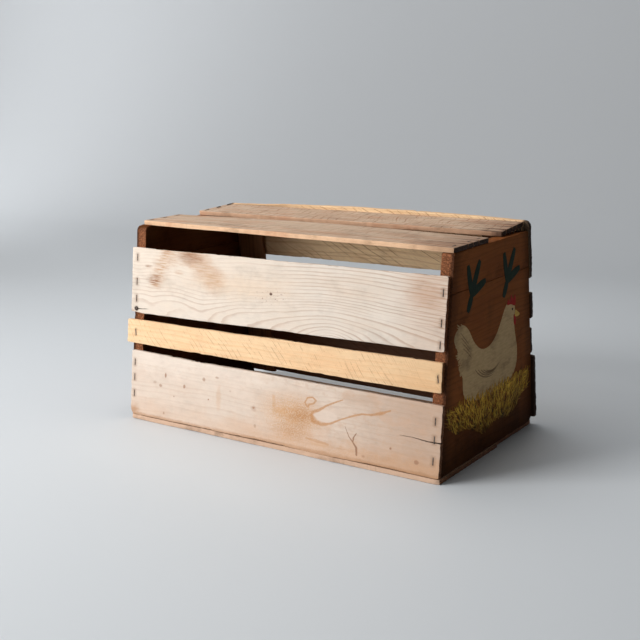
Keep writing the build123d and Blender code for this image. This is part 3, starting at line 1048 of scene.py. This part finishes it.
# ---- The crate ----
def build_boards():
    cleat, back, floor = cleat_wood(), back_wood(), floor_wood()
    for side, axes, seed in (("left", LEFT, 11), ("right", RIGHT, 12)):
        end = end_wood(side)
        # the painted panel stays flat, so that the paint lies on it
        form = {"arris": 1.2, "upright": True, "flat": side == "right"}
        board(f"{side}_end_lower_board", axes, end, "end_panel_wood", seed, **form)
        board(f"{side}_end_upper_board", axes, end, "end_panel_wood", seed + 10, **form)
        board(f"back_{side}_cleat", BACK_UPRIGHT, cleat, "cleat_wood", seed + 20)

    board("front_upper_slat", FRONT, front_upper_wood(), "front_slat_wood", 31, bow=0.8, cup=-0.5,
          splits=NAIL_SPLIT)
    board("front_middle_slat", FRONT, front_middle_wood(), "new_slat_wood", 32, bow=0.5, cup=0.3)
    board("front_lower_slat", FRONT, front_lower_wood(), "front_slat_wood", 33, arris=0.7, bow=0.2,
          cup=-0.2, drop=1.1, splits=LOWER_SPLIT)
    top_front = top_wood("front", TOP, saw_lean=-0.13, saw=0.75, seed=21.5, edge=(232, 190, 152),
                         splits=TOP_FRONT_SPLITS)
    board("top_front_slat", TOP, top_front, "top_slat_wood", 34, bow=1.8, tilt=1.4,
          splits=TOP_FRONT_SPLITS)
    top_back = top_wood("back", TOP_BACK, saw_lean=0.165, saw=1.5, seed=24.1, edge=(208, 164, 132),
                        splits=TOP_BACK_SPLITS)
    board("top_back_slat", TOP_BACK, top_back, "top_slat_wood", 35, bow=0.3, twist=1.6,
          splits=TOP_BACK_SPLITS)
    board("back_upper_slat", BACK, back, "back_slat_wood", 36, bow=0.5, splits=BACK_SPLITS)
    for k, name in enumerate(("second", "third", "lower")):
        board(f"back_{name}_slat", BACK, back, "back_slat_wood", 37 + k, bow=0.6)
    board("floor_front_board", FLOOR, floor, "floor_wood", 41, arris=0.6)
    board("floor_back_board", FLOOR, floor, "floor_wood", 42)


def dress_fasteners():
    staple = rusty_steel("staple_wire", (112, 106, 98), (76, 50, 36))
    head = rusty_steel("nail_head", (96, 92, 88), (104, 66, 42))
    for name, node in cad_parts.items():
        if "staples" in name or "nail" in name:
            node.data.materials.clear()
            node.data.materials.append(staple if "staples" in name else head)


# ---- The studio ----
def build_camera():
    yaw, down, roll = CAMERA_YAW, CAMERA_DOWN, CAMERA_ROLL
    forward = Vector((-sin(yaw) * cos(down), cos(yaw) * cos(down), -sin(down)))
    level = Vector((cos(yaw), sin(yaw), 0))
    above = level.cross(forward)
    right = level * cos(roll) + above * sin(roll)
    axes = Matrix((right, right.cross(forward), -forward)).transposed().to_4x4()
    axes.translation = CAMERA_PLACE
    camera = add_object("camera", bpy.data.cameras.new("camera"), axes)
    camera.data.sensor_width = SENSOR_WIDTH
    camera.data.lens = CAMERA_LENS
    bpy.context.scene.camera = camera


def backdrop_material():
    """Pale floor that darkens into a grey-blue wall."""
    g = Graph("studio_paper")
    colour = g.mix(g.step(g.y * MM, *PAPER_SHADE), PAPER_PALE, PAPER_DARK)
    return g.finish(colour, 0.55, g.noise(g.x * 0.004, g.y * 0.004, g.z * 0.004) * 0.1)


def build_stage():
    """A sheet of paper that curves up behind the crate."""
    ground, bend_start = CAD_LOW.z - PAPER_GAP, PAPER_WALL - PAPER_BEND
    profile = [(PAPER_FRONT, 0), (0, 0), (bend_start, 0)]
    for turn in range(6, 91, 6):
        reach, rise = sin(radians(turn)), 1 - cos(radians(turn))
        profile.append((bend_start + PAPER_BEND * reach, PAPER_BEND * rise))
    profile.append((PAPER_WALL, PAPER_TOP))
    vertices, faces = [], []
    for i, (y, z) in enumerate(profile):
        vertices += [(-PAPER_HALF_WIDTH, y, ground + z), (PAPER_HALF_WIDTH, y, ground + z)]
        if i:
            faces.append((2 * i - 2, 2 * i - 1, 2 * i + 1, 2 * i))
    paper = add_object("paper_backdrop", new_mesh("paper_backdrop", vertices, faces))
    paper.data.materials.append(backdrop_material())
    paper.data.shade_smooth()


def area_light(name, place, target, size, power, colour=(1, 1, 1)):
    light = bpy.data.lights.new(name, "AREA")
    light.shape = "RECTANGLE"
    light.size, light.size_y = size
    light.energy = power
    light.color = colour
    lamp = add_object(name, light)
    lamp.location = place
    lamp.rotation_euler = (Vector(target) - Vector(place)).to_track_quat("-Z", "Y").to_euler()
    lamp.visible_camera = False


def build_lights():
    centre = (CAD_LOW + CAD_HIGH) / 2
    area_light("window", (-1.7, -2.1, 1.15), centre, size=(1.5, 1.7), power=82)
    area_light("sky", (-0.5, 0.0, 2.2), centre, size=(2.2, 1.6), power=26, colour=COOL)
    area_light("wall", (-3.4, 0.4, 1.1), (-4.0, 2.5, 0.5), size=(1.6, 1.2), power=42, colour=COOL)
    world = bpy.data.worlds.new("studio")
    world.use_nodes = True
    background = world.node_tree.nodes["Background"]
    background.inputs["Color"].default_value = AMBIENT_COLOUR
    background.inputs["Strength"].default_value = AMBIENT_STRENGTH
    bpy.context.scene.world = world
    bpy.context.scene.view_settings.view_transform = "Standard"


build_camera()
build_stage()
build_lights()
build_boards()
paint_right_panel()
dress_fasteners()
